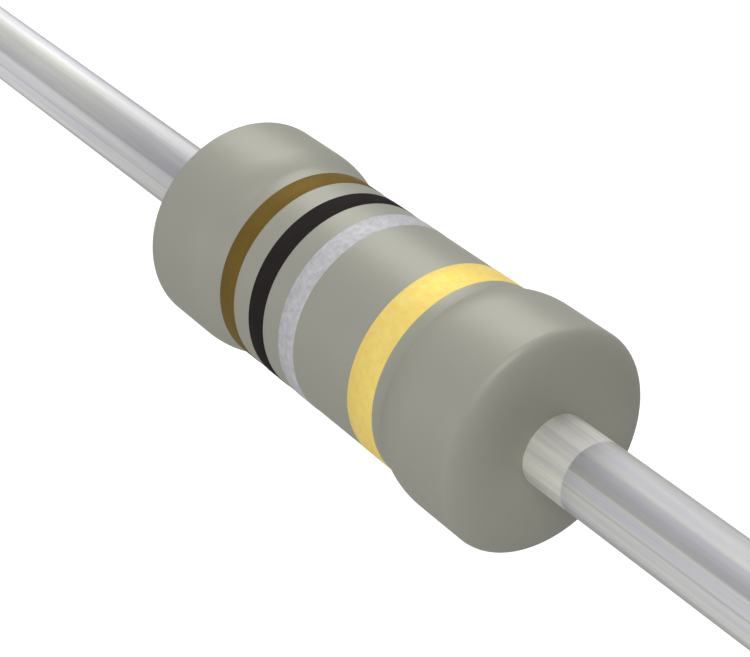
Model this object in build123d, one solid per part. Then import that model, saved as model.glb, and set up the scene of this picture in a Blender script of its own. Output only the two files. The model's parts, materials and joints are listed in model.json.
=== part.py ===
"""Axial power resistor: wound ceramic rod, pressed end caps, tinned leads, lacquered dog-bone body.

Millimetres, +X along the leads towards the tolerance band, +Z up.
The origin is the middle of the body, on the axis of the leads.
"""
from build123d import *
import os

# Driving dimensions of the lacquered body
body_length = 5.8
bulge_diameter = 2.5
bulge_length = 1.095
shoulder_run = 0.215
neck_depth = 0.1
rim_run = 0.205
rim_depth = 0.55
lacquer_over_cap = 0.25
lacquer_over_end = 0.25

# Driving dimensions of what the lacquer covers
cap_wall = 0.25
cap_length = 0.9
cap_edge_radius = 0.12
wire_diameter = 0.2
turns = 6
weld_gap = 0.005

# Driving dimensions of the leads
lead_diameter = 0.8
lead_length = 16.1
lead_end_chamfer = 0.06
head_flare = 0.15
head_length = 0.12

# Driving dimensions of the painted colour code
paint_thickness = 0.02
digit_band_width = 0.285
digit_band_pitch = 0.58
tolerance_band_width = 0.43
end_margin = 0.155

# Places and radii worked out from the dimensions above
body_half = body_length / 2
bulge_radius = bulge_diameter / 2
neck_radius = bulge_radius - neck_depth
shoulder_top = body_half - bulge_length
shoulder_foot = shoulder_top - shoulder_run
cap_radius = bulge_radius - lacquer_over_cap
cap_face = body_half - lacquer_over_end
cap_mouth = cap_face - cap_length
rod_radius = cap_radius - cap_wall
rod_half = cap_face - cap_wall
wire_radius = wire_diameter / 2
winding_half = cap_mouth - wire_radius - weld_gap
lead_radius = lead_diameter / 2
lead_tip = body_half + lead_length
code_reach = shoulder_foot - end_margin


def turned(half_section):
    """A solid turned about the X axis from a closed wire drawn above it."""
    return revolve(make_face(half_section), Axis.X)


def on_left(right_piece):
    """The same piece at the other end of the body."""
    return right_piece.mirror(Plane.YZ)


def core_rod():
    """Plain ceramic rod, closed at both ends by the caps."""
    return Rot(0, 90, 0) * Cylinder(rod_radius, 2 * rod_half)


def resistance_winding():
    """Round wire wound in open turns that lie on the rod, from one cap's mouth to the other's."""
    winding_radius = rod_radius + wire_radius
    pitch = 2 * winding_half / turns
    centre_line = Helix(pitch, 2 * winding_half, winding_radius, (-winding_half, 0, 0), (1, 0, 0))
    wire_section = Plane(centre_line @ 0, z_dir=centre_line % 0) * Circle(wire_radius)
    return sweep(wire_section, path=centre_line, is_frenet=True)


def right_end_cap():
    """Cup pressed from sheet, its bottom against the rod's end and its skirt round the rod."""
    outside = Cylinder(cap_radius, cap_length)
    outside = fillet(outside.edges().sort_by(Axis.Z)[-1], cap_edge_radius)
    mouth = Pos(0, 0, -cap_wall) * Cylinder(rod_radius, cap_length)
    return Pos(cap_face - cap_length / 2, 0, 0) * Rot(0, 90, 0) * (outside - mouth)


def right_lead():
    """Wire with a tapered head welded to the cap's bottom, straight out of the body's face."""
    with BuildLine() as half_section:
        Polyline(
            (lead_tip, 0),
            (cap_face, 0),
            (cap_face, lead_radius + head_flare),
            (cap_face + head_length, lead_radius),
            (lead_tip - lead_end_chamfer, lead_radius),
            (lead_tip, lead_radius - lead_end_chamfer),
            close=True,
        )
    return turned(half_section.line)


def body_outline():
    """Outline of the lacquered body: neck, two shoulders that swell into bulges, and softly rounded faces."""
    face_radius = bulge_radius - rim_depth
    rim_start = body_half - rim_run
    with BuildLine() as half_section:
        Line((-shoulder_foot, neck_radius), (shoulder_foot, neck_radius))
        for side, first_angle in ((-1, 90), (1, 0)):
            level = (side, 0)
            Spline(
                (side * shoulder_foot, neck_radius),
                (side * shoulder_top, bulge_radius),
                tangents=[level, level],
            )
            Line((side * shoulder_top, bulge_radius), (side * rim_start, bulge_radius))
            rim_middle = (side * rim_start, face_radius)
            EllipticalCenterArc(rim_middle, rim_run, rim_depth, first_angle, arc_size=90)
            Line((side * body_half, face_radius), (side * body_half, 0))
        Line((-body_half, 0), (body_half, 0))
    return half_section.line


def coating(inner_pieces):
    """One body of lacquer: it fills the space between the turns and closes round the leads."""
    body = turned(body_outline())
    for piece in inner_pieces:
        body = body - piece
    return body


def painted_band(middle, width):
    """Ring of paint on the neck."""
    ring = Cylinder(neck_radius + paint_thickness, width) - Cylinder(neck_radius, width)
    return Pos(middle, 0, 0) * Rot(0, 90, 0) * ring


def colour_code():
    """Three digit bands from the left shoulder, and the wider tolerance band at the right one."""
    bands = {}
    first_middle = digit_band_width / 2 - code_reach
    for place, colour in enumerate(("brown", "black", "silver")):
        middle = first_middle + place * digit_band_pitch
        bands[colour + "_band"] = painted_band(middle, digit_band_width)
    bands["gold_band"] = painted_band(code_reach - tolerance_band_width / 2, tolerance_band_width)
    return bands


nodes = {
    "core_rod": core_rod(),
    "resistance_winding": resistance_winding(),
    "left_end_cap": on_left(right_end_cap()),
    "right_end_cap": right_end_cap(),
    "left_lead": on_left(right_lead()),
    "right_lead": right_lead(),
}
nodes["coating"] = coating(list(nodes.values()))
nodes.update(colour_code())

os.makedirs("parts", exist_ok=True)
for name, solid in nodes.items():
    export_step(solid, "parts/" + name + ".step")
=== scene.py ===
import json
import math

import bmesh
import bpy
from mathutils import Matrix, Vector


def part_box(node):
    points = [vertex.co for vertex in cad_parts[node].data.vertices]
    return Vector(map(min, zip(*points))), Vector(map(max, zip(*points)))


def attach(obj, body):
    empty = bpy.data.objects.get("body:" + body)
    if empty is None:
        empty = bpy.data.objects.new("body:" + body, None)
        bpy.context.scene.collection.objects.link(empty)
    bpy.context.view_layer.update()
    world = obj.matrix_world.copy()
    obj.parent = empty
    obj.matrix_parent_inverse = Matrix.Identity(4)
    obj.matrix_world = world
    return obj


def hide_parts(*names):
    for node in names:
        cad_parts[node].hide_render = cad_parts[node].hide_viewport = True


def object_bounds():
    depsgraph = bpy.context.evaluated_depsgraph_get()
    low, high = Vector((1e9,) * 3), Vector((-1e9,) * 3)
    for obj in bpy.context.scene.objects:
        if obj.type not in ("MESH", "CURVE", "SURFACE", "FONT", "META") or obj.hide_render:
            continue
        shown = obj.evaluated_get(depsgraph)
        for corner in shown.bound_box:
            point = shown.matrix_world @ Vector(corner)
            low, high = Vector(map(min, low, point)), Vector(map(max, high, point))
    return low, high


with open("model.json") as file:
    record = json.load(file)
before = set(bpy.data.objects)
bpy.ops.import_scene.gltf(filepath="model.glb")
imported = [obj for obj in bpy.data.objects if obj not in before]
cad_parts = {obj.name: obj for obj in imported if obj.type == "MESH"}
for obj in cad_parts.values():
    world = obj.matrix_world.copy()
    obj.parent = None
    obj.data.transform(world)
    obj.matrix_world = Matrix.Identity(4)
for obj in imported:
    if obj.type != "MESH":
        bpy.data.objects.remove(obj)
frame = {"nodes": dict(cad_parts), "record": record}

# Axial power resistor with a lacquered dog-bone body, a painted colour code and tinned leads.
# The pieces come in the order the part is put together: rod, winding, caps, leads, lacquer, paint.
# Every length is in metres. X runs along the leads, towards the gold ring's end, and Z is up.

cad_low, cad_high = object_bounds()
bpy.context.scene.view_settings.view_transform = "Standard"
MM = 0.001


# ---------------------------------------------------------------- ceramic rod
# A plain rod of fired alumina. Everything else is pressed on, wound round or brushed over it.
# It is hidden in the finished part, so the construction solid stands as it is.

def linear(hex_colour):
    """An sRGB hex colour as the linear RGBA that shaders take."""
    channels = []
    for place in (1, 3, 5):
        value = int(hex_colour[place:place + 2], 16) / 255
        channels.append(value / 12.92 if value <= 0.04045 else ((value + 0.055) / 1.055) ** 2.4)
    return (*channels, 1.0)


def add_node(tree, kind, settings=None, links=None):
    """One node, with its properties or input values set and output sockets linked to its named inputs."""
    node = tree.nodes.new(kind)
    for key, value in (settings or {}).items():
        if isinstance(key, str) and hasattr(node, key):
            setattr(node, key, value)
        else:
            node.inputs[key].default_value = value
    for key, socket in (links or {}).items():
        tree.links.new(socket, node.inputs[key])
    return node


def new_material(name):
    """An empty node material with its output node."""
    material = bpy.data.materials.new(name)
    material.use_nodes = True
    material.node_tree.nodes.clear()
    return material, material.node_tree, material.node_tree.nodes.new("ShaderNodeOutputMaterial")


def fired_alumina():
    """Alumina ceramic, extruded and fired: off-white, dry, with a fine grain that scatters the light."""
    # The real grain is near 0.01 mm. It is drawn coarser, so that it shows.
    grain = 0.06 * MM
    grain_depth = 0.005 * MM
    material, tree, output = new_material("fired_alumina")
    place = add_node(tree, "ShaderNodeTexCoord").outputs["Object"]
    speckle = add_node(tree, "ShaderNodeTexNoise", {"Scale": 1 / grain, "Detail": 3.0}, {"Vector": place})
    colour = add_node(tree, "ShaderNodeMix", {"data_type": "RGBA"}, {0: speckle.outputs["Fac"]})
    colour.inputs[6].default_value = linear("#DEDACD")
    colour.inputs[7].default_value = linear("#F1EEE4")
    bump = add_node(tree, "ShaderNodeBump", {"Strength": 0.3, "Distance": grain_depth},
                    {"Height": speckle.outputs["Fac"]})
    surface = add_node(tree, "ShaderNodeBsdfPrincipled", {"Roughness": 0.75, "IOR": 1.76},
                       {"Base Color": colour.outputs[2], "Normal": bump.outputs["Normal"]})
    tree.links.new(surface.outputs[0], output.inputs["Surface"])
    return material


def finish_node(node_name, material):
    """A construction solid that is shown as it is, in its own material."""
    solid = frame["nodes"][node_name]
    solid.data.materials.clear()
    solid.data.materials.append(material)


finish_node("core_rod", fired_alumina())
rod_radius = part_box("core_rod")[1].y


# ---------------------------------------------------------- resistance winding
# Round copper-nickel wire laid on the rod in six open turns. Its ends stop just short of the caps,
# which a real one is welded to. Few turns of a thick low-resistance wire give the tenth of an ohm
# that the colour code reads.

def drawn_copper_nickel():
    """Copper-nickel resistance wire, drawn bright: warm grey metal with a satin sheen."""
    draw_mark = 0.02 * MM
    material, tree, output = new_material("drawn_copper_nickel")
    place = add_node(tree, "ShaderNodeTexCoord").outputs["Object"]
    marks = add_node(tree, "ShaderNodeTexNoise", {"Scale": 1 / draw_mark, "Detail": 2.0}, {"Vector": place})
    tone = add_node(tree, "ShaderNodeMix", {"data_type": "RGBA"}, {0: marks.outputs["Fac"]})
    tone.inputs[6].default_value = linear("#A98D78")
    tone.inputs[7].default_value = linear("#C2A68F")
    roughness = add_node(tree, "ShaderNodeMapRange", {"To Min": 0.28, "To Max": 0.42},
                         {"Value": marks.outputs["Fac"]})
    surface = add_node(tree, "ShaderNodeBsdfPrincipled", {"Metallic": 1.0},
                       {"Base Color": tone.outputs[2], "Roughness": roughness.outputs["Result"]})
    tree.links.new(surface.outputs[0], output.inputs["Surface"])
    return material


def winding_tree(material):
    """Geometry nodes: a line bent into a helix about X, and swept by a round section."""
    tree = bpy.data.node_groups.new("wound_wire", "GeometryNodeTree")
    tree.interface.new_socket("Geometry", in_out="OUTPUT", socket_type="NodeSocketGeometry")
    for name, kind in (("Turns", "Float"), ("Coil Length", "Float"), ("Coil Radius", "Float"),
                       ("Wire Radius", "Float"), ("Steps per Turn", "Float"), ("Sides", "Int")):
        tree.interface.new_socket(name, in_out="INPUT", socket_type="NodeSocket" + kind)
    given = tree.nodes.new("NodeGroupInput").outputs
    steps = add_node(tree, "ShaderNodeMath", {"operation": "MULTIPLY"},
                     {0: given["Turns"], 1: given["Steps per Turn"]})
    line = add_node(tree, "GeometryNodeMeshLine", {"count_mode": "TOTAL"}, {"Count": steps.outputs[0]})
    index = add_node(tree, "GeometryNodeInputIndex")
    last = add_node(tree, "ShaderNodeMath", {"operation": "SUBTRACT", 1: 1.0}, {0: steps.outputs[0]})
    share = add_node(tree, "ShaderNodeMath", {"operation": "DIVIDE"},
                     {0: index.outputs[0], 1: last.outputs[0]})
    revolutions = add_node(tree, "ShaderNodeMath", {"operation": "MULTIPLY"},
                           {0: share.outputs[0], 1: given["Turns"]})
    angle = add_node(tree, "ShaderNodeMath", {"operation": "MULTIPLY", 1: 2 * math.pi},
                     {0: revolutions.outputs[0]})
    centred = add_node(tree, "ShaderNodeMath", {"operation": "SUBTRACT", 1: 0.5}, {0: share.outputs[0]})
    along = add_node(tree, "ShaderNodeMath", {"operation": "MULTIPLY"},
                     {0: centred.outputs[0], 1: given["Coil Length"]})
    across = []
    for operation in ("COSINE", "SINE"):
        swing = add_node(tree, "ShaderNodeMath", {"operation": operation}, {0: angle.outputs[0]})
        across.append(add_node(tree, "ShaderNodeMath", {"operation": "MULTIPLY"},
                               {0: swing.outputs[0], 1: given["Coil Radius"]}))
    point = add_node(tree, "ShaderNodeCombineXYZ",
                     links={"X": along.outputs[0], "Y": across[0].outputs[0], "Z": across[1].outputs[0]})
    helix = add_node(tree, "GeometryNodeSetPosition",
                     links={"Geometry": line.outputs["Mesh"], "Position": point.outputs[0]})
    curve = add_node(tree, "GeometryNodeMeshToCurve", links={"Mesh": helix.outputs["Geometry"]})
    section = add_node(tree, "GeometryNodeCurvePrimitiveCircle",
                       links={"Resolution": given["Sides"], "Radius": given["Wire Radius"]})
    swept = add_node(tree, "GeometryNodeCurveToMesh", {"Fill Caps": True},
                     {"Curve": curve.outputs["Curve"], "Profile Curve": section.outputs["Curve"]})
    real = add_node(tree, "GeometryNodeRealizeInstances", links={"Geometry": swept.outputs["Mesh"]})
    clad = add_node(tree, "GeometryNodeSetMaterial", {"Material": material},
                    {"Geometry": real.outputs["Geometry"]})
    result = tree.nodes.new("NodeGroupOutput")
    tree.links.new(clad.outputs["Geometry"], result.inputs["Geometry"])
    return tree


def grown_mesh(name, tree, values):
    """A plain mesh from a geometry node tree, with its named inputs set before it is first evaluated."""
    seed = bpy.data.objects.new(name + "_seed", bpy.data.meshes.new(name + "_seed"))
    bpy.context.scene.collection.objects.link(seed)
    modifier = seed.modifiers.new("grow", "NODES")
    modifier.node_group = tree
    sockets = {item.name: item.identifier for item in tree.interface.items_tree if item.in_out == "INPUT"}
    for key, value in values.items():
        modifier[sockets[key]] = value
    evaluated = seed.evaluated_get(bpy.context.evaluated_depsgraph_get())
    mesh = bpy.data.meshes.new_from_object(evaluated)
    mesh.name = name
    bpy.data.objects.remove(seed)
    return mesh


def placed(name, mesh, replaced):
    """The finished piece in the scene, standing for its construction solids."""
    piece = bpy.data.objects.new(name, mesh)
    bpy.context.scene.collection.objects.link(piece)
    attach(piece, "root")
    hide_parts(*replaced)


def facing_out(mesh):
    """Doubles merged and every face turned outwards."""
    shape = bmesh.new()
    shape.from_mesh(mesh)
    bmesh.ops.remove_doubles(shape, verts=shape.verts, dist=1e-8)
    bmesh.ops.recalc_face_normals(shape, faces=shape.faces)
    shape.to_mesh(mesh)
    shape.free()


winding_low, winding_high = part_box("resistance_winding")
wire_radius = (winding_high.y - rod_radius) / 2
wire_finish = drawn_copper_nickel()
winding_mesh = grown_mesh("resistance_winding_wire", winding_tree(wire_finish), {
    "Turns": 6.0,
    "Coil Length": winding_high.x - winding_low.x - 2 * wire_radius,
    "Coil Radius": rod_radius + wire_radius,
    "Wire Radius": wire_radius,
    "Steps per Turn": 72.0,
    "Sides": 20,
})
facing_out(winding_mesh)
winding_mesh.shade_smooth()
winding_mesh.set_sharp_from_angle(angle=math.radians(50))
placed("resistance_winding_wire", winding_mesh, ["resistance_winding"])


# -------------------------------------------------------------------- end caps
# Cups pressed from tin-plated steel strip and forced on the rod's ends; the wire and leads weld to them.
# Each is one sheet, so it is drawn as a wall of even thickness with a rounded drawing edge.

def pressed_tinplate():
    """Tin-plated steel, deep drawn: pale metal with soft drawing marks round the skirt."""
    mark = 0.05 * MM
    material, tree, output = new_material("pressed_tinplate")
    place = add_node(tree, "ShaderNodeTexCoord").outputs["Object"]
    marks = add_node(tree, "ShaderNodeTexNoise", {"Scale": 1 / mark, "Detail": 2.0}, {"Vector": place})
    tone = add_node(tree, "ShaderNodeMix", {"data_type": "RGBA"}, {0: marks.outputs["Fac"]})
    tone.inputs[6].default_value = linear("#B6B7B4")
    tone.inputs[7].default_value = linear("#CBCCCA")
    roughness = add_node(tree, "ShaderNodeMapRange", {"To Min": 0.3, "To Max": 0.45},
                         {"Value": marks.outputs["Fac"]})
    surface = add_node(tree, "ShaderNodeBsdfPrincipled", {"Metallic": 1.0},
                       {"Base Color": tone.outputs[2], "Roughness": roughness.outputs["Result"]})
    tree.links.new(surface.outputs[0], output.inputs["Surface"])
    return material


def turned_mesh(name, outline, sides, closed):
    """A mesh turned about X from (x, radius) points.

    A closed outline makes a ring. An open one starts and ends on the axis.
    """
    shape = bmesh.new()
    rings = []
    for x, radius in outline:
        if radius < 1e-9:
            rings.append([shape.verts.new((x, 0, 0))])
            continue
        ring = []
        for step in range(sides):
            turn = 2 * math.pi * step / sides
            ring.append(shape.verts.new((x, radius * math.sin(turn), radius * math.cos(turn))))
        rings.append(ring)
    pairs = list(zip(rings, rings[1:]))
    if closed:
        pairs.append((rings[-1], rings[0]))
    for first, second in pairs:
        for step in range(sides):
            after = (step + 1) % sides
            corners = [first[step % len(first)], first[after % len(first)],
                       second[after % len(second)], second[step % len(second)]]
            corners = list(dict.fromkeys(corners))
            if len(corners) > 2:
                shape.faces.new(corners)
    bmesh.ops.recalc_face_normals(shape, faces=shape.faces)
    mesh = bpy.data.meshes.new(name)
    shape.to_mesh(mesh)
    shape.free()
    mesh.shade_smooth()
    mesh.set_sharp_from_angle(angle=math.radians(35))
    return mesh


def arc(middle, radii, first, last, steps):
    """Points on an ellipse's arc, angles in degrees from +X towards +radius."""
    points = []
    for step in range(steps + 1):
        angle = math.radians(first + (last - first) * step / steps)
        points.append((middle[0] + radii[0] * math.cos(angle), middle[1] + radii[1] * math.sin(angle)))
    return points


cap_low, cap_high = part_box("right_end_cap")
cap_face, cap_mouth, cap_radius = cap_high.x, cap_low.x, cap_high.y
cap_wall = cap_radius - rod_radius
cap_edge = 0.12 * MM
edge_steps = 8
cap_sides = 96


def cap_outline(side):
    """Half section of one cup, from the axis over the outside and back along the bore."""
    outer_edge = arc((cap_face - cap_edge, cap_radius - cap_edge), (cap_edge, cap_edge), 0, 90, edge_steps)
    points = [(cap_face, 0), *outer_edge, (cap_mouth, cap_radius), (cap_mouth, rod_radius),
              (cap_face - cap_wall, rod_radius), (cap_face - cap_wall, 0)]
    return [(side * x, radius) for x, radius in points]


tinplate = pressed_tinplate()
for side, hand in ((-1, "left"), (1, "right")):
    cup = turned_mesh(hand + "_cap_cup", cap_outline(side), cap_sides, closed=False)
    cup.materials.append(tinplate)
    placed(hand + "_cap_cup", cup, [hand + "_end_cap"])


# ----------------------------------------------------------------------- leads
# Soft copper wire, drawn and hot tinned, with an upset head welded to the cap's bottom.
# The tin next to the body keeps a pale matt film from curing; past a sharp line it was dipped again.

def hot_tinned_wire(line_at):
    """Hot-tinned copper: satin light grey metal with light and dark draw lines, painted shade and highlight
    by angle round the wire, and painted shade beside the body.
    """
    streak = 0.10 * MM
    hair_line = 0.018 * MM
    line_depth = 0.003 * MM
    line_ripple = 0.08 * MM
    ripple_length = 0.4 * MM
    along_wire = 0.02
    twist = math.radians(0.4) / MM
    body_shade_until, body_shade_gone_from = 3.5 * MM, 7.5 * MM
    material, tree, output = new_material("hot_tinned_wire")
    place = add_node(tree, "ShaderNodeTexCoord").outputs["Object"]
    # Stretched along the wire, so each pattern becomes lines in the drawing direction.
    drawn = add_node(tree, "ShaderNodeMapping", {"Scale": (along_wire, 1.0, 1.0)}, {"Vector": place})
    broad = add_node(tree, "ShaderNodeTexNoise", {"Scale": 1 / streak, "Detail": 1.0},
                     {"Vector": drawn.outputs[0]})
    fine = add_node(tree, "ShaderNodeTexNoise", {"Scale": 1 / hair_line, "Detail": 2.0},
                    {"Vector": drawn.outputs[0]})
    both = add_node(tree, "ShaderNodeMix", {"data_type": "FLOAT", "Factor": 0.3},
                    {2: broad.outputs["Fac"], 3: fine.outputs["Fac"]})
    streaks = add_node(tree, "ShaderNodeMapRange", {"From Min": 0.3, "From Max": 0.7},
                       {"Value": both.outputs[0]})
    # Draw lines along the wire, with painted shade and highlight set by the angle round it, turning slowly:
    # tone held down under the top highlight, a sharp step and a hair line on the front, painted shade
    # underneath.
    # Each is an angle in degrees, from the top towards the front, and the share of tone the tin keeps there.
    parts = add_node(tree, "ShaderNodeSeparateXYZ", links={0: place})
    forward = add_node(tree, "ShaderNodeMath", {"operation": "MULTIPLY", 1: -1.0}, {0: parts.outputs["Y"]})
    around = add_node(tree, "ShaderNodeMath", {"operation": "ARCTAN2"},
                      {0: forward.outputs[0], 1: parts.outputs["Z"]})
    twisted = add_node(tree, "ShaderNodeMath", {"operation": "MULTIPLY_ADD", 1: twist},
                       {0: parts.outputs["X"], 2: around.outputs[0]})
    share = add_node(tree, "ShaderNodeMath", {"operation": "MULTIPLY_ADD", 1: 0.5 / math.pi, 2: 0.5},
                     {0: twisted.outputs[0]})
    draw_lines_and_painted_shade = add_node(tree, "ShaderNodeValToRGB", links={"Fac": share.outputs[0]})
    marks = ((-180, 0.80), (-90, 0.90), (-40, 0.72), (-30, 0.74), (-18, 0.84), (-8, 0.78), (1, 0.61),
             (10, 0.56), (20, 0.68), (30, 0.80), (36, 0.82), (53, 0.71), (54.5, 0.93), (74, 0.95),
             (76.5, 0.74), (79, 1.0), (104, 1.0), (110, 0.82), (124, 0.60), (180, 0.80))
    stops = draw_lines_and_painted_shade.color_ramp.elements
    while len(stops) < len(marks):
        stops.new(1.0)
    for stop, (turn, tone) in zip(stops, marks):
        stop.position = turn / 360 + 0.5
        stop.color = (tone, tone, tone, 1.0)
    # The line where the second dip stopped, a little wavy round the wire.
    distance = add_node(tree, "ShaderNodeMath", {"operation": "ABSOLUTE"}, {0: parts.outputs["X"]})
    wave = add_node(tree, "ShaderNodeTexNoise", {"Scale": 1 / ripple_length, "Detail": 0.0},
                    {"Vector": place})
    ripple = add_node(tree, "ShaderNodeMath",
                      {"operation": "MULTIPLY_ADD", 1: line_ripple, 2: line_at - line_ripple / 2},
                      {0: wave.outputs["Fac"]})
    dipped = add_node(tree, "ShaderNodeMath", {"operation": "GREATER_THAN"},
                      {0: distance.outputs[0], 1: ripple.outputs[0]})
    # Painted shade: the tin is darker beside the body, less and less along the wire.
    painted_body_shade = add_node(tree, "ShaderNodeMapRange", {"From Min": body_shade_until, "From Max": body_shade_gone_from},
                       {"Value": distance.outputs[0]})
    near_tone = add_node(tree, "ShaderNodeMix", {"data_type": "RGBA"}, {0: streaks.outputs[0]})
    near_tone.inputs[6].default_value = linear("#C8C8D3")
    near_tone.inputs[7].default_value = linear("#E6E5DC")
    far_tone = add_node(tree, "ShaderNodeMix", {"data_type": "RGBA"}, {0: streaks.outputs[0]})
    far_tone.inputs[6].default_value = linear("#E2E2ED")
    far_tone.inputs[7].default_value = linear("#FDFDF4")
    second_dip = add_node(tree, "ShaderNodeMix", {"data_type": "RGBA"},
                          {0: painted_body_shade.outputs[0], 6: near_tone.outputs[2], 7: far_tone.outputs[2]})
    # The dipped tin carries the full painted shade and highlight by angle.
    dipped_with_painted_shade = add_node(tree, "ShaderNodeMix", {"data_type": "RGBA", "blend_type": "MULTIPLY", "Factor": 1.0},
                      {6: second_dip.outputs[2], 7: draw_lines_and_painted_shade.outputs["Color"]})
    first_dip = add_node(tree, "ShaderNodeMix", {"data_type": "RGBA"}, {0: streaks.outputs[0]})
    first_dip.inputs[6].default_value = linear("#CDCCCB")
    first_dip.inputs[7].default_value = linear("#F2F1E7")
    # The film beside the body carries the painted shade and highlight by angle at a third of its strength.
    film_with_painted_shade = add_node(tree, "ShaderNodeMix", {"data_type": "RGBA", "blend_type": "MULTIPLY", "Factor": 0.3},
                    {6: first_dip.outputs[2], 7: draw_lines_and_painted_shade.outputs["Color"]})
    colour = add_node(tree, "ShaderNodeMix", {"data_type": "RGBA"},
                      {0: dipped.outputs[0], 6: film_with_painted_shade.outputs[2], 7: dipped_with_painted_shade.outputs[2]})
    # The film beside the body is matt and half hides the metal. The rest is bare tin.
    roughness = add_node(tree, "ShaderNodeMapRange", {"To Min": 0.6, "To Max": 0.5},
                         {"Value": dipped.outputs[0]})
    bare = add_node(tree, "ShaderNodeMapRange", {"To Min": 0.5, "To Max": 1.0}, {"Value": dipped.outputs[0]})
    bump = add_node(tree, "ShaderNodeBump", {"Strength": 0.15, "Distance": line_depth},
                    {"Height": streaks.outputs[0]})
    surface = add_node(tree, "ShaderNodeBsdfPrincipled", {"Specular IOR Level": 0.0},
                       {"Base Color": colour.outputs[2], "Roughness": roughness.outputs["Result"],
                        "Metallic": bare.outputs["Result"], "Normal": bump.outputs["Normal"]})
    tree.links.new(surface.outputs[0], output.inputs["Surface"])
    return material


lead_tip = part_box("right_lead")[1].x
lead_mount = frame["record"]["mounts"][0]
lead_radius = lead_mount["dims"]["r_mm"] * MM
head_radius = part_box("right_lead")[1].y
head_length = 0.12 * MM
tip_chamfer = 0.06 * MM
body_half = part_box("coating")[1].x
lead_sides = 128
lead_runs = 12
film_length = 0.56 * MM


def lead_outline(side):
    """Half section of one lead, from its weld face out to the cropped tip."""
    points = [(cap_face, 0), (cap_face, head_radius), (cap_face + head_length, lead_radius),
              (body_half, lead_radius)]
    for step in range(1, lead_runs + 1):
        points.append((body_half + (lead_tip - tip_chamfer - body_half) * step / lead_runs, lead_radius))
    points += [(lead_tip, lead_radius - tip_chamfer), (lead_tip, 0)]
    return [(side * x, radius) for x, radius in points]


tinned_wire = hot_tinned_wire(body_half + film_length)
for side, hand in ((-1, "left"), (1, "right")):
    wire = turned_mesh(hand + "_lead_wire", lead_outline(side), lead_sides, closed=False)
    wire.materials.append(tinned_wire)
    placed(hand + "_lead_wire", wire, [hand + "_lead"])


# --------------------------------------------------------------------- coating
# Flameproof silicone lacquer, rolled on and cured. It swells over the caps and sinks between them,
# which gives the dog-bone shape, and closes tightly round the leads at a nearly flat face.

def cured_lacquer():
    """Silicone lacquer with mineral filler, cured matt: warm grey, even, with a very fine grain."""
    # The real filler is near 0.01 mm. It is drawn coarser, so that it shows.
    cloud = 1.4 * MM
    grain = 0.03 * MM
    grain_depth = 0.003 * MM
    material, tree, output = new_material("cured_silicone_lacquer")
    place = add_node(tree, "ShaderNodeTexCoord").outputs["Object"]
    clouds = add_node(tree, "ShaderNodeTexNoise", {"Scale": 1 / cloud, "Detail": 3.0}, {"Vector": place})
    filler = add_node(tree, "ShaderNodeTexNoise", {"Scale": 1 / grain, "Detail": 2.0}, {"Vector": place})
    mixed = add_node(tree, "ShaderNodeMix", {"data_type": "FLOAT", "Factor": 0.4},
                     {2: clouds.outputs["Fac"], 3: filler.outputs["Fac"]})
    colour = add_node(tree, "ShaderNodeMix", {"data_type": "RGBA"}, {0: mixed.outputs[0]})
    colour.inputs[6].default_value = linear("#A4A499")
    colour.inputs[7].default_value = linear("#AAAA9F")
    roughness = add_node(tree, "ShaderNodeMapRange", {"To Min": 0.41, "To Max": 0.47},
                         {"Value": filler.outputs["Fac"]})
    bump = add_node(tree, "ShaderNodeBump", {"Strength": 0.12, "Distance": grain_depth},
                    {"Height": filler.outputs["Fac"]})
    # The filler dulls the glare that a clear lacquer has at its edges, so the satin sheen is a metallic share
    # instead of a specular layer: a soft band along the top, and no bright rim.
    surface = add_node(tree, "ShaderNodeBsdfPrincipled",
                       {"IOR": 1.45, "Specular IOR Level": 0.0, "Metallic": 0.34},
                       {"Base Color": colour.outputs[2], "Roughness": roughness.outputs["Result"],
                        "Normal": bump.outputs["Normal"]})
    tree.links.new(surface.outputs[0], output.inputs["Surface"])
    return material


coating_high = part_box("coating")[1]
bulge_radius = coating_high.y
# The construction rings stand this far proud of the neck. The paint itself is thinner.
ring_thickness = 0.02 * MM
neck_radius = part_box("gold_band")[1].y - ring_thickness
rim_run = 0.205 * MM
rim_depth = 0.55 * MM
bulge_length = 1.095 * MM
shoulder_length = 0.215 * MM
shoulder_foot = body_half - bulge_length - shoulder_length
crown_run = 0.45 * MM
crown_steepness = 2.2
neck_steps, crown_steps, rim_steps = 8, 16, 24
coating_sides = 256
crest_radius = rod_radius + 2 * wire_radius


def half_coating_outline():
    """Right half of the lacquer's section, from the neck's middle over the outside and back inside."""
    points = []
    for step in range(neck_steps + 1):
        points.append((shoulder_foot * step / neck_steps, neck_radius))
    # The bulge climbs steeply from its foot and flattens slowly towards the crown.
    for step in range(1, crown_steps + 1):
        share = step / crown_steps
        rise = 1 - (1 - share) ** crown_steepness
        points.append((shoulder_foot + crown_run * share, neck_radius + (bulge_radius - neck_radius) * rise))
    points.append(((shoulder_foot + crown_run + body_half - rim_run) / 2, bulge_radius))
    points += arc((body_half - rim_run, bulge_radius - rim_depth), (rim_run, rim_depth), 90, 0, rim_steps)
    points.append((body_half, lead_radius))
    points += [(cap_face + head_length, lead_radius), (cap_face, head_radius),
               (cap_face, cap_radius - cap_edge)]
    points += arc((cap_face - cap_edge, cap_radius - cap_edge), (cap_edge, cap_edge), 0, 90, edge_steps)[1:]
    points += [(cap_mouth, cap_radius), (cap_mouth, crest_radius), (0, crest_radius)]
    return points


right_half = half_coating_outline()
left_half = [(-x, radius) for x, radius in reversed(right_half)]
coating_outline = right_half + left_half[1:-1]
coat = turned_mesh("lacquer_coating", coating_outline, coating_sides, closed=True)
lacquer = cured_lacquer()
coat.materials.append(lacquer)
placed("lacquer_coating", coat, ["coating"])


# ----------------------------------------------------------------- colour code
# Four rings rolled on the neck in quick-drying paint, a few thousandths of a millimetre thick.
# Brown, black and silver read 0.10 ohm; the gold ring, half as wide again, gives the tolerance.

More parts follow.
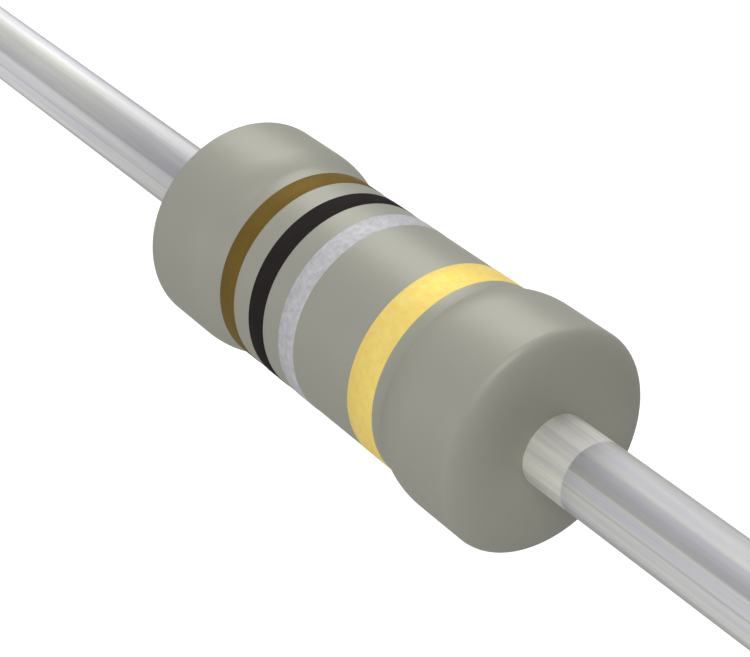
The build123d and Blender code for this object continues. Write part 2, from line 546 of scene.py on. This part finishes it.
def rolled_paint(name, dark, light, gloss, flake):
    """Marking paint, rolled on thin and level: flat, with a faint mottle of pigment, or of metal flake."""
    film_roughness = 0.5
    ripple_depth = 0.002 * MM
    material, tree, output = new_material(name)
    place = add_node(tree, "ShaderNodeTexCoord").outputs["Object"]
    mottle = add_node(tree, "ShaderNodeTexNoise", {"Scale": 1 / flake, "Detail": 4.0, "Roughness": 0.65},
                      {"Vector": place})
    spread = add_node(tree, "ShaderNodeMapRange", {"From Min": 0.3, "From Max": 0.7},
                      {"Value": mottle.outputs["Fac"]})
    colour = add_node(tree, "ShaderNodeMix", {"data_type": "RGBA"}, {0: spread.outputs["Result"]})
    colour.inputs[6].default_value = linear(dark)
    colour.inputs[7].default_value = linear(light)
    sheen = add_node(tree, "ShaderNodeMapRange",
                     {"To Min": film_roughness - 0.05, "To Max": film_roughness + 0.05},
                     {"Value": mottle.outputs["Fac"]})
    relief = add_node(tree, "ShaderNodeBump", {"Strength": 0.1, "Distance": ripple_depth},
                      {"Height": mottle.outputs["Fac"]})
    surface = add_node(tree, "ShaderNodeBsdfPrincipled", {"Metallic": gloss, "Specular IOR Level": 0.0},
                       {"Base Color": colour.outputs[2], "Roughness": sheen.outputs["Result"],
                        "Normal": relief.outputs["Normal"]})
    tree.links.new(surface.outputs[0], output.inputs["Surface"])
    return material


paint_film = 0.004 * MM
band_sides = 256


def band_outline(node_name):
    """Section of one painted ring: a film with a thinned edge each side."""
    low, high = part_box(node_name)
    edge = 2 * paint_film
    top = neck_radius + paint_film
    return [(low.x, neck_radius), (low.x + edge, top), ((low.x + high.x) / 2, top), (high.x - edge, top),
            (high.x, neck_radius)]


# Pigment mottles in soft clouds. Real metal flakes are near 0.03 mm, and are drawn larger, so that they show.
pigment_cloud = 0.3 * MM
aluminium_flake = 0.07 * MM
bronze_flake = 0.10 * MM
paints = {
    "brown": rolled_paint("brown_marking_paint", "#725C2C", "#7B6430", 0.3, pigment_cloud),
    "black": rolled_paint("black_marking_paint", "#2A2626", "#2F2B2A", 0.1, pigment_cloud),
    "silver": rolled_paint("aluminium_flake_paint", "#B6B6BB", "#D3D3D6", 0.25, aluminium_flake),
    "gold": rolled_paint("bronze_flake_paint", "#FDDA73", "#FFE98A", 0.3, bronze_flake),
}
for colour_name, paint in paints.items():
    ring = turned_mesh(colour_name + "_paint_ring", band_outline(colour_name + "_band"), band_sides,
                       closed=True)
    ring.materials.append(paint)
    placed(colour_name + "_paint_ring", ring, [colour_name + "_band"])


# ---------------------------------------------------------------------- studio
# The part hangs by a lead over a pale board, in a pale tent with soft lamps round it.
# The camera stands off the gold end, in front and above, and looks down along the body.

def white_board():
    """Matt white board. Seen by the camera it is white, and the part's shadow stays on it."""
    seen_glow = 0.32
    mirrored_glow = 0.22
    material, tree, output = new_material("white_board")
    path = add_node(tree, "ShaderNodeLightPath")
    tone = add_node(tree, "ShaderNodeMix", {"data_type": "RGBA"}, {0: path.outputs["Is Camera Ray"]})
    tone.inputs[6].default_value = linear("#B9B9B9")
    tone.inputs[7].default_value = linear("#F2F2F2")
    board = add_node(tree, "ShaderNodeBsdfDiffuse", {}, {"Color": tone.outputs[2]})
    seen = add_node(tree, "ShaderNodeMath", {"operation": "MULTIPLY", 1: seen_glow},
                    {0: path.outputs["Is Camera Ray"]})
    lift = add_node(tree, "ShaderNodeMath", {"operation": "MULTIPLY_ADD", 1: mirrored_glow},
                    {0: path.outputs["Is Glossy Ray"], 2: seen.outputs[0]})
    glow = add_node(tree, "ShaderNodeEmission", {"Color": (1, 1, 1, 1)}, {"Strength": lift.outputs[0]})
    both = add_node(tree, "ShaderNodeAddShader", links={0: board.outputs[0], 1: glow.outputs[0]})
    tree.links.new(both.outputs[0], output.inputs["Surface"])
    return material


floor_drop = 20 * MM
floor_size = 1200 * MM
floor_mesh = bpy.data.meshes.new("studio_floor")
half_floor = floor_size / 2
floor_corners = [(-half_floor, -half_floor), (half_floor, -half_floor),
                 (half_floor, half_floor), (-half_floor, half_floor)]
floor_mesh.from_pydata([(x, y, cad_low.z - floor_drop) for x, y in floor_corners], [], [(0, 1, 2, 3)])
floor_mesh.materials.append(white_board())
floor = bpy.data.objects.new("studio_floor", floor_mesh)
bpy.context.scene.collection.objects.link(floor)


def tent(gloss_level):
    """The tent: white where the camera sees it, pale grey in the part's gloss. It adds no other light."""
    world = bpy.data.worlds.new("pale_tent")
    world.use_nodes = True
    tree = world.node_tree
    tree.nodes.clear()
    output = tree.nodes.new("ShaderNodeOutputWorld")
    path = add_node(tree, "ShaderNodeLightPath")
    mirrored = add_node(tree, "ShaderNodeMath", {"operation": "MULTIPLY", 1: gloss_level},
                        {0: path.outputs["Is Glossy Ray"]})
    strength = add_node(tree, "ShaderNodeMath", {"operation": "MAXIMUM"},
                        {0: path.outputs["Is Camera Ray"], 1: mirrored.outputs[0]})
    cloth = add_node(tree, "ShaderNodeBackground", {"Color": (1, 1, 1, 1)}, {"Strength": strength.outputs[0]})
    tree.links.new(cloth.outputs[0], output.inputs["Surface"])
    return world


bpy.context.scene.world = tent(0.60)


def towards(turn, lean):
    """A direction, in degrees: turn about X from straight up to the front, then lean to +X."""
    turn, lean = math.radians(turn), math.radians(lean)
    return Vector((math.sin(lean), -math.cos(lean) * math.sin(turn), math.cos(lean) * math.cos(turn)))


def lamp(name, turn, lean, spread, strength, glossy=True):
    """A soft distant lamp of that angular spread. One that isn't glossy lights the part, unmirrored."""
    light = bpy.data.lights.new(name, "SUN")
    light.angle = math.radians(spread)
    light.energy = strength
    stand = bpy.data.objects.new(name, light)
    stand.rotation_euler = towards(turn, lean).to_track_quat("Z", "Y").to_euler()
    stand.visible_glossy = glossy
    bpy.context.scene.collection.objects.link(stand)


# Three cards give the even light, and four lamps the soft sheen along the lacquer and the tin.
lamp("key_card", 36, 38, 30, 1.12, glossy=False)
lamp("front_card", 79, 4, 20, 0.98, glossy=False)
lamp("back_card", -30, -16, 20, 1.25, glossy=False)
lamp("back_lamp", -46, -2, 30, 0.20)
lamp("top_lamp", 8, 20, 30, 0.50)
lamp("far_lamp", -31, -41, 38, 0.70)
lamp("front_lamp", 84, -30, 36, 0.16)

view_azimuth = math.radians(54.83)
view_elevation = math.radians(31.54)
view_distance = 22.559 * MM
aim_right = -0.0771 * MM
aim_up = -0.0558 * MM
back = Vector((math.sin(view_azimuth) * math.cos(view_elevation),
               -math.cos(view_azimuth) * math.cos(view_elevation),
               math.sin(view_elevation)))
right = Vector((math.cos(view_azimuth), math.sin(view_azimuth), 0))
up = back.cross(right)
camera_data = bpy.data.cameras.new("camera")
camera_data.lens = 101.36
camera_data.sensor_width = 36
camera_data.clip_start = 1 * MM
camera_data.clip_end = 10
camera = bpy.data.objects.new("camera", camera_data)
camera.matrix_world = (Matrix.Translation(back * view_distance + right * aim_right + up * aim_up)
                       @ Matrix((right, up, back)).transposed().to_4x4())
bpy.context.scene.collection.objects.link(camera)
bpy.context.scene.camera = camera
